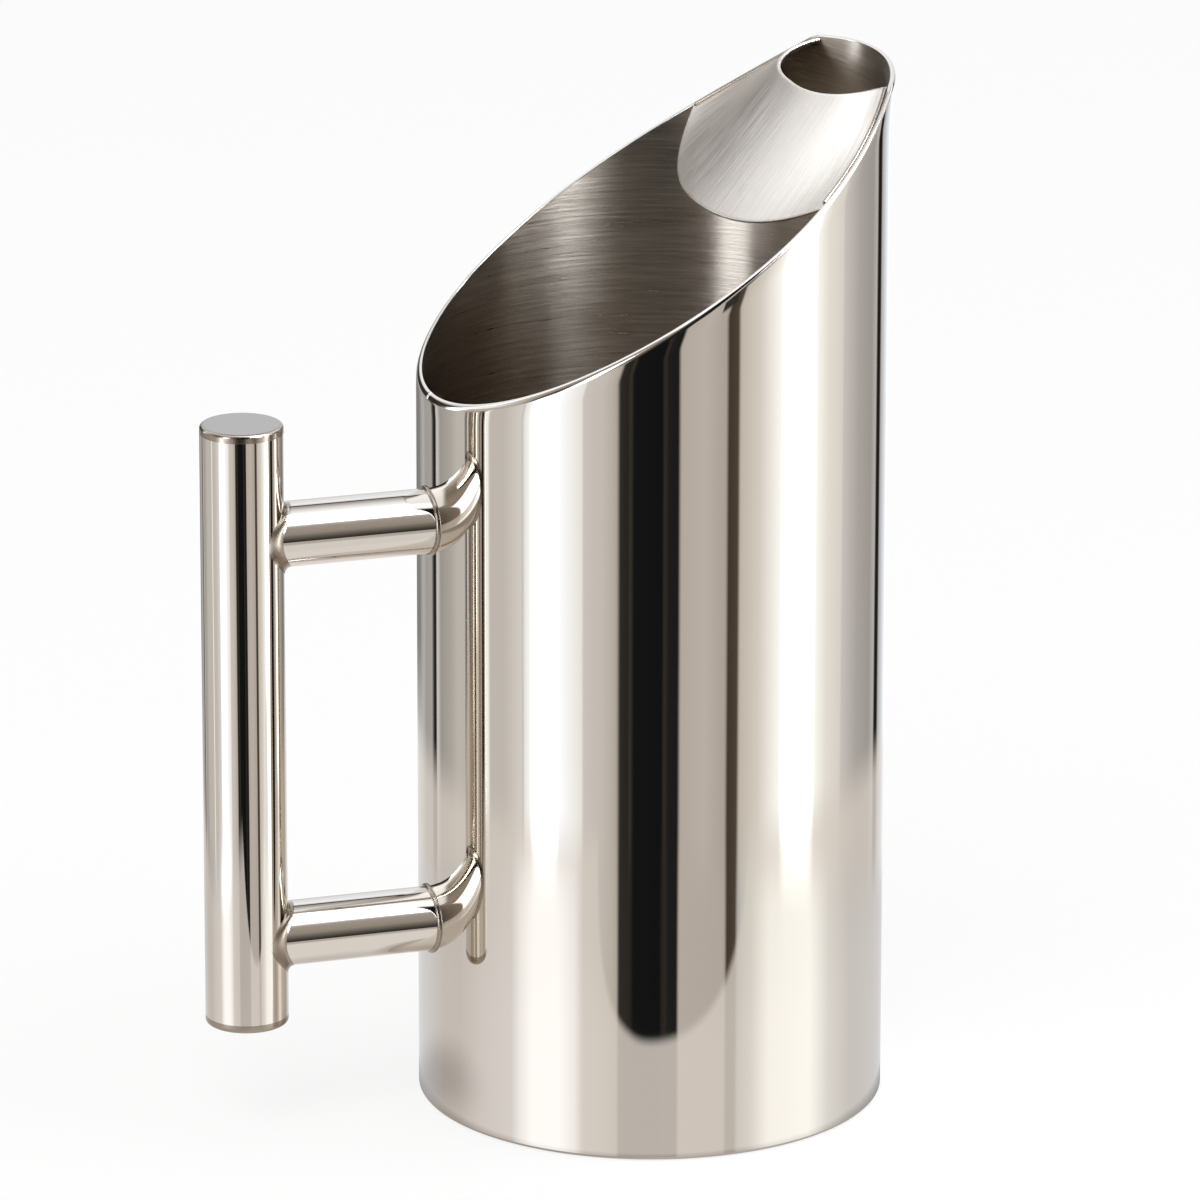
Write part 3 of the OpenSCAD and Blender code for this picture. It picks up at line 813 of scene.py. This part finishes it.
# %% Ceiling and skyline
CEILING = [
    (-20, "#2C2925"), (-12, "#2F2D28"), (-6, "#433D37"), (0, "#5C564D"), (7, "#756D64"), (14, "#8E8376"),
    (36, "#9C9186"), (41, "#B4ADA5"), (44, "#F0EFEB"), (54, "#FDFDFC"), (60, "#FDFDFC", 2),
    (82, "#FDFDFC", 2), (88, "#FDFDFC"), (95, "#EEEDE9"), (104, "#DAD5D0"), (114, "#B3ADA7"),
    (122.5, "#8E877F"), (124, "#3C352F"), (127.5, "#3C352F"), (129.5, "#D8D5D2"), (137, "#F0EFEE"),
    (145, "#E4E2E0"), (160, "#DAD8D6"), (200, "#D2D0CE"),
]
LEFT_CEILING = [
    (-20, "#5C564D"), (30, "#9C9186"), (56, "#9C9186"), (60, "#FFFFFF"), (122, "#FFFFFF", 1.25),
    (127, "#F4F1EC"), (138, "#DAD4CB"), (153, "#C6BFB7"), (163, "#BFB8AF"), (172, "#C6C0B8"),
    (182, "#D6D2CC"), (200, "#D6D2CC"),
]
FAR_CEILING = [
    (-20, "#5A5048"), (0, "#6E645A"), (30, "#8A7D70"), (60, "#9F9487"), (90, "#8A7D70"), (115, "#9C9184"),
    (140, "#CFC8BE"), (155, "#FDFDFC"), (165, "#D8D2CA"), (200, "#8A7D70"),
]
SKYLINE = [
    (-180, 0.12), (-168, 0.15), (-150, 0.26), (-118, 0.26), (-112, 0.14), (-70, 0.14), (-66, 0.3),
    (-34, 0.36), (-30, 0.62), (-20, 0.78), (60, 0.85), (100, 0.85), (140, 0.8), (150, 0.2),
    (180, 0.12),
]
print("ceiling entries:", len(CEILING) + len(LEFT_CEILING) + len(FAR_CEILING))

# %% [markdown]
# ## From lists to light
#
# A list becomes a colour ramp over an angle. Steel multiplies what it reflects by its own colour, so each
# entry is divided by that colour first, and then the metal shows the entry as written. Regions of the room
# are laid over one another like sheets of paper with soft edges.


# %% Helpers for the studio
def in_steel(code, boost=1.0):
    """The light that polished steel shows as this colour: the linear colour over the steel's own."""
    ratio = [boost * a / b for a, b in zip(linear(code)[:3], linear(STEEL)[:3])]
    return (*ratio, 1.0)


def ramp_of(tree, angle, panels):
    """A colour ramp over an angle, from the first entry's degrees to the last one's. An entry holds a
    hex code with an optional boost, or a plain number for a height."""
    first, last = panels[0][0], panels[-1][0]
    share = add(tree, "ShaderNodeMapRange", {"Value": angle, "From Min": math.radians(first),
                                             "From Max": math.radians(last)})
    ramp = add(tree, "ShaderNodeValToRGB", {"Fac": share.outputs["Result"]})
    stops = ramp.color_ramp.elements
    for index, (degrees, *value) in enumerate(panels):
        stop = stops[index] if index < 2 else stops.new(1.0)
        stop.position = (degrees - first) / (last - first)
        stop.color = in_steel(*value) if isinstance(value[0], str) else (*value * 3, 1.0)
    return ramp.outputs["Color"]


def share_of(tree, *limits):
    """How much of what is seen a region takes: the product of its limits. A limit (value, none, full)
    is a soft step, 0 where the value is none and 1 where it is full. Any other limit is a share."""
    share = None
    for limit in limits:
        if isinstance(limit, tuple):
            value, none, full = limit
            limit = add(tree, "ShaderNodeMapRange", {"Value": value, "From Min": none, "From Max": full},
                        interpolation_type="SMOOTHSTEP").outputs["Result"]
        if share is not None:
            limit = add(tree, "ShaderNodeMath", {0: share, 1: limit}, operation="MULTIPLY").outputs[0]
        share = limit
    return share


def laid_over(tree, under, top, *limits):
    """One colour over another by the share of the limits: under times (1 - share) plus top times it."""
    mixed = add(tree, "ShaderNodeMix", {"Factor": share_of(tree, *limits), 6: under, 7: top},
                data_type="RGBA")
    return mixed.outputs[2]


# %% [markdown]
# ## Directions in the room
#
# The world's coordinates are the direction that a reflected ray takes, as x, y and z of length 1. Two
# angles come from them: one round the jug, counted from the camera's side, and one over the head.

# %% Directions
world = bpy.data.worlds.new("studio_room")
bpy.context.scene.world = world
world.use_nodes = True
room = world.node_tree
room.nodes.clear()
way = add(room, "ShaderNodeTexCoord")
axes = add(room, "ShaderNodeSeparateXYZ", {"Vector": way.outputs["Generated"]})
x_way, y_way, z_way = (axes.outputs[name] for name in "XYZ")

# The camera stands at the world angle azimuth - 90, and the panels count from there, within half a turn
angle = add(room, "ShaderNodeMath", {0: y_way, 1: x_way}, operation="ARCTAN2")
shifted = add(room, "ShaderNodeMath", {0: angle.outputs[0], 1: math.radians(90 - CAMERA_AZIMUTH)},
              operation="ADD")
around = add(room, "ShaderNodeMath", {0: shifted.outputs[0], 1: math.pi, 2: -math.pi},
             operation="WRAP").outputs[0]

# Over the head the angle runs from the front (-Y) up to the zenith and down to the back
ahead = add(room, "ShaderNodeMath", {0: y_way, 1: -1.0}, operation="MULTIPLY")
lifted = add(room, "ShaderNodeMath", {0: z_way, 1: ahead.outputs[0]}, operation="ARCTAN2")
over = add(room, "ShaderNodeMath", {0: lifted.outputs[0], 1: math.radians(270), 2: math.radians(-90)},
           operation="WRAP").outputs[0]
print("the camera's side of the room is at", round(CAMERA_AZIMUTH - 90, 2), "degrees")

# %% [markdown]
# ## Walls and ceiling of the room
#
# The walls start with the panels at eye level. The higher ones take over in a soft step on the height of
# the direction, and on the right they start higher still, where only the inside of the jug sees them. The
# lower ones take over near the floor, and under them lies a plain beige ground.

# %% Walls
# Heights, as the sine of the elevation, where a layer starts and where it has taken over
UPPER_START, RIGHT_RAISE, RIGHT_SIDE = (-0.13, -0.06), 0.4, (21, 25)
LOWER_START, GROUND_START = (-0.3245, -0.331), (-0.36, -0.42)
GROUND_LEFT = (-0.2, -0.5)
# The dark edge on the far left ends lower down
LEFT_END, LEFT_END_START = (-150, -155), (-0.304, -0.318)

on_right = add(room, "ShaderNodeMath", {0: around, 1: math.radians(ROOM_SEAM)}, operation="GREATER_THAN")
walls = laid_over(room, ramp_of(room, around, LEFT_ROOM), ramp_of(room, around, RIGHT_ROOM),
                  on_right.outputs[0])
right_side = share_of(room, (around, *np.radians(RIGHT_SIDE).tolist()))
start = add(room, "ShaderNodeMath", {0: right_side, 1: -RIGHT_RAISE, 2: z_way}, operation="MULTIPLY_ADD")
walls = laid_over(room, walls, ramp_of(room, around, UPPER_ROOM), (start.outputs[0], *UPPER_START))
walls = laid_over(room, walls, in_steel("#B3ADA5"), (around, *np.radians(LEFT_END).tolist()),
                  (z_way, *LEFT_END_START))
walls = laid_over(room, walls, ramp_of(room, around, LOWER_ROOM), (z_way, *LOWER_START))
ground = laid_over(room, in_steel("#CFC8BF"), in_steel("#9A8F83"), (x_way, *GROUND_LEFT))
walls = laid_over(room, walls, ground, (z_way, *GROUND_START))
print("walls start at the heights", UPPER_START, LOWER_START, GROUND_START)

# %% [markdown]
# ## Screen, strip and lamp
#
# Three small things complete the set, each for one place on the jug. A brown screen stands right of the
# camera and reaches lower than the ceiling, and it shows mostly in the arms. A white strip behind the jug
# lights the flat top of the rim. A lamp high on the left reaches the inside of the spout through the
# pouring hole.

# %% Ceiling, screen, strip and lamp
# How far to the left, and how far over the skyline, a layer starts and where it has taken over
LEFT_START, FAR_START, ROOF_EDGE = (-0.20, -0.27), (-0.56, -0.64), (0.0, 0.12)
# Middle and half width in degrees, and the heights between which the screen starts
SCREEN_AT, SCREEN_HALF, SCREEN_FOOT = 36, 3.7, (-0.245, -0.225)


def window(middle, half_width, height, half_height):
    """1 in a rectangle of directions and 0 elsewhere: the angle is within half_width degrees of the
    middle, and the height within half_height of the given one."""
    beside = add(room, "ShaderNodeMath", {0: around, 1: math.radians(middle), 2: math.radians(half_width)},
                 operation="COMPARE")
    level = add(room, "ShaderNodeMath", {0: z_way, 1: height, 2: half_height}, operation="COMPARE")
    return share_of(room, beside.outputs[0], level.outputs[0])


ceiling = laid_over(room, ramp_of(room, over, CEILING), ramp_of(room, over, LEFT_CEILING),
                    (x_way, *LEFT_START))
ceiling = laid_over(room, ceiling, ramp_of(room, over, FAR_CEILING), (x_way, *FAR_START))
above = add(room, "ShaderNodeMath", {0: z_way, 1: ramp_of(room, around, SKYLINE)}, operation="SUBTRACT")
roof = share_of(room, (above.outputs[0], *ROOF_EDGE))
beside = add(room, "ShaderNodeMath", {0: around, 1: math.radians(SCREEN_AT), 2: math.radians(SCREEN_HALF)},
             operation="COMPARE")
screen = share_of(room, beside.outputs[0], (z_way, *SCREEN_FOOT))
higher = add(room, "ShaderNodeMath", {0: roof, 1: screen}, operation="MAXIMUM")
seen_room = laid_over(room, walls, ceiling, higher.outputs[0])
strip = window(middle=-160, half_width=13, height=0.41, half_height=0.06)
seen_room = laid_over(room, seen_room, in_steel("#E9E6E1"), strip)
lamp = window(middle=-124, half_width=11, height=0.58, half_height=0.16)
seen_room = laid_over(room, seen_room, in_steel("#FFFFFF", 1.3), lamp)
print("ceiling, screen, strip and lamp are in place")

# %% [markdown]
# ## What each ray sees
#
# Reflections see the room, and the camera sees a plain white behind the jug. All other rays get an even
# white light at three quarters of full strength, so that matt things look plain.

# %% World output
EVEN_LIGHT = 0.75
seen = add(room, "ShaderNodeLightPath")
gloss = add(room, "ShaderNodeBackground", {"Color": seen_room, "Strength": 1.0})
even = add(room, "ShaderNodeBackground", {"Color": linear("#FFFFFF"), "Strength": EVEN_LIGHT})
white = add(room, "ShaderNodeBackground", {"Color": linear("#FFFFFF"), "Strength": 1.0})
metal_view = add(room, "ShaderNodeMixShader", {0: seen.outputs["Is Glossy Ray"], 1: even.outputs[0],
                                               2: gloss.outputs[0]})
final = add(room, "ShaderNodeMixShader", {0: seen.outputs["Is Camera Ray"], 1: metal_view.outputs[0],
                                          2: white.outputs[0]})
add(room, "ShaderNodeOutputWorld", {"Surface": final.outputs[0]})
print("nodes in the studio:", len(room.nodes))

# %% [markdown]
# ## Floor
#
# The floor is matt white paper. Most of what the camera sees of it is a flat white, with a share of real
# shading left in, so that the soft shadow stays. Metal doesn't see the floor itself, because a plain
# white sheet to the horizon would wash out the whole lower half of the jug.


# %% Paper floor
def table_sheet(name, half, height, material):
    """A level square stage object round the jug, from -half to half in metres at the given height."""
    mesh = bpy.data.meshes.new(name)
    corners = [(x * half, y * half, height) for x, y in ((-1, -1), (1, -1), (1, 1), (-1, 1))]
    mesh.from_pydata(corners, [], [(0, 1, 2, 3)])
    mesh.materials.append(material)
    made = bpy.data.objects.new(name, mesh)
    bpy.context.scene.collection.objects.link(made)
    return made


FLAT_SHARE, FLOOR_HALF, FLOOR_Z = 0.78, 6.0, -0.0002
paper = bpy.data.materials.new("matt_white_paper")
paper.use_nodes = True
tree = paper.node_tree
tree.nodes.clear()
shaded = add(tree, "ShaderNodeBsdfDiffuse", {"Color": linear("#F6F6F5")})
flat = add(tree, "ShaderNodeEmission", {"Color": linear("#FFFFFF"), "Strength": 1.0})
mixed = add(tree, "ShaderNodeMixShader", {0: FLAT_SHARE, 1: shaded.outputs[0], 2: flat.outputs[0]})
seen = add(tree, "ShaderNodeLightPath")
choice = add(tree, "ShaderNodeMixShader", {0: seen.outputs["Is Camera Ray"], 1: shaded.outputs[0],
                                           2: mixed.outputs[0]})
add(tree, "ShaderNodeOutputMaterial", {"Surface": choice.outputs[0]})
floor = table_sheet("floor", FLOOR_HALF, FLOOR_Z, paper)
floor.visible_glossy = False
print("floor of", 2 * FLOOR_HALF, "m")

# %% [markdown]
# ## The card under the jug
#
# Under a product stands a card, which only metal sees here. It is no lamp, but it glows with painted light
# in place of a lit card. It is partly clear, so the foot shows a blend of the card and of the room mirrored
# in it. Its front edge is a parabola across the view, steeper on the left, and it gives the soft round ends
# of the dark stripes near the foot. A dark ring of painted contact shadow lies round the foot, and a
# painted shadow of the jug lies left of it.

# %% Glowing card with painted shadows
CARD_HALF, CARD_Z, CARD_COVER = 0.3, -0.0001, 0.70
# Glow colours at distances from the jug's axis in metres, the first one a painted contact shadow
CARD_GLOW_AND_PAINTED_SHADOW = [(0.0543, "#5F554B"), (0.0553, "#D8CEC4"), (0.13, "#D8CEC4"), (0.2, "#D2C8BD")]
# The card is gone at the first distance and whole at the second
FRONT_EDGE, ROUND_EDGE = (0.138, 0.128), (0.30, 0.25)
# The parabola's factor at two places across the view
BEND_RIGHT, BEND_LEFT = (0.01, -1.6), (-0.02, -10.0)
# The painted shadow of the jug: its place as the camera sees it, distances from there where it ends
# and where it is full, and its share
SHADOW_AT, SHADOW_REACH, SHADOW_DEPTH = (-0.068, -0.008, 0.0), (0.036, 0.004), 0.7

glowing_card = bpy.data.materials.new("pale_glowing_card_painted_shadow")
glowing_card.use_nodes = True
tree = glowing_card.node_tree
tree.nodes.clear()
place = add(tree, "ShaderNodeTexCoord").outputs["Object"]
reach = add(tree, "ShaderNodeVectorMath", {0: place}, operation="LENGTH").outputs["Value"]
facing = add(tree, "ShaderNodeVectorRotate", {"Vector": place, "Angle": math.radians(-CAMERA_AZIMUTH)},
             rotation_type="Z_AXIS").outputs["Vector"]
parts = add(tree, "ShaderNodeSeparateXYZ", {"Vector": facing})
across, deep = parts.outputs["X"], parts.outputs["Y"]

# The front edge is where bend times across squared, less deep, reaches the edge's distance
bend = add(tree, "ShaderNodeMapRange", {"Value": across, "From Min": BEND_RIGHT[0], "To Min": BEND_RIGHT[1],
                                        "From Max": BEND_LEFT[0], "To Max": BEND_LEFT[1]})
squared = add(tree, "ShaderNodeMath", {0: across, 1: across}, operation="MULTIPLY")
bent = add(tree, "ShaderNodeMath", {0: squared.outputs[0], 1: bend.outputs["Result"]}, operation="MULTIPLY")
front = add(tree, "ShaderNodeMath", {0: bent.outputs[0], 1: deep}, operation="SUBTRACT").outputs[0]
cover = share_of(tree, (front, *FRONT_EDGE), (reach, *ROUND_EDGE), CARD_COVER)

# The glow's colour by distance, with a painted contact shadow in a ring round the foot
tones = add(tree, "ShaderNodeValToRGB", {"Fac": reach})
stops = tones.color_ramp.elements
for index, (distance, code) in enumerate(CARD_GLOW_AND_PAINTED_SHADOW):
    stop = stops[index] if index < 2 else stops.new(1.0)
    stop.position, stop.color = distance, in_steel(code)
# The painted shadow of the jug darkens the glow left of the foot
from_shadow = add(tree, "ShaderNodeVectorMath", {0: facing, 1: SHADOW_AT}, operation="DISTANCE")
shade = laid_over(tree, tones.outputs["Color"], in_steel("#A0968C"),
                  (from_shadow.outputs["Value"], *SHADOW_REACH), SHADOW_DEPTH)
# The card glows with this painted light, though it is no lamp
glow = add(tree, "ShaderNodeEmission", {"Color": shade, "Strength": 1.0})
clear = add(tree, "ShaderNodeBsdfTransparent")
mixed = add(tree, "ShaderNodeMixShader", {0: cover, 1: clear.outputs[0], 2: glow.outputs[0]})
add(tree, "ShaderNodeOutputMaterial", {"Surface": mixed.outputs[0]})
card = table_sheet("card", CARD_HALF, CARD_Z, glowing_card)
card.visible_camera = card.visible_diffuse = card.visible_shadow = card.visible_transmission = False
print("card of", 2 * CARD_HALF, "m, seen by metal alone")

# %% [markdown]
# ## Lamps
#
# Two large soft lamps light the floor and give the jug its faint shadow. Metal doesn't see them, because
# the room has its own panels.


# %% Lamps
def aimed(right, up, back, place):
    """The matrix whose columns are the directions right, up and back, and the place."""
    return Matrix([[right[i], up[i], back[i], place[i]] for i in range(3)] + [[0, 0, 0, 1]])


LAMP_TARGET = [0, 0, 0.1]


def soft_lamp(name, place, size, power):
    """A square area lamp that looks at a point on the jug. Back is the direction from there to the lamp,
    side is the upright crossed with back, and up is back crossed with side."""
    data = bpy.data.lights.new(name, "AREA")
    data.size, data.energy = size, power
    lamp = bpy.data.objects.new(name, data)
    bpy.context.scene.collection.objects.link(lamp)
    back = unit(np.array(place) - LAMP_TARGET)
    side = unit(np.cross([0, 0, 1], back))
    lamp.matrix_world = aimed(side, np.cross(back, side), back, place)
    lamp.visible_glossy = False
    print(f"{name}: {power} W at {place}")


soft_lamp("key_lamp", (-0.9, -0.9, 1.9), size=1.4, power=14)
soft_lamp("fill_lamp", (1.2, -0.6, 1.5), size=1.4, power=8)

# %% [markdown]
# ## Camera
#
# The camera stands where the photograph was taken from: far away with a long lens, so that the tube's
# sides are nearly parallel. Its direction comes from two angles, and a slight roll is kept as measured.

# %% Camera
# Lens and sensor in millimetres, roll in degrees and the rest in metres
LENS, SENSOR, DISTANCE, ROLL = 302.39, 36.0, 2.32654, 0.0833
SIDE_SHIFT, TARGET_H, FAR_LIMIT = -0.011756, 0.11758, 50.0
az, el, roll = (math.radians(v) for v in (CAMERA_AZIMUTH, CAMERA_ELEVATION, ROLL))
back = np.array([math.sin(az) * math.cos(el), -math.cos(az) * math.cos(el), math.sin(el)])
level = np.array([math.cos(az), math.sin(az), 0.0])
upright = np.cross(back, level)
right = math.cos(roll) * level + math.sin(roll) * upright
up = -math.sin(roll) * level + math.cos(roll) * upright
spot = SIDE_SHIFT * level + np.array([0, 0, TARGET_H]) + DISTANCE * back
data = bpy.data.cameras.new("camera")
data.lens, data.sensor_width, data.clip_end = LENS, SENSOR, FAR_LIMIT
camera = bpy.data.objects.new("camera", data)
bpy.context.scene.collection.objects.link(camera)
camera.matrix_world = aimed(right, up, back, spot)
bpy.context.scene.camera = camera
bpy.context.scene.view_settings.view_transform = "Standard"
print("camera at", np.round(spot, 4).tolist())
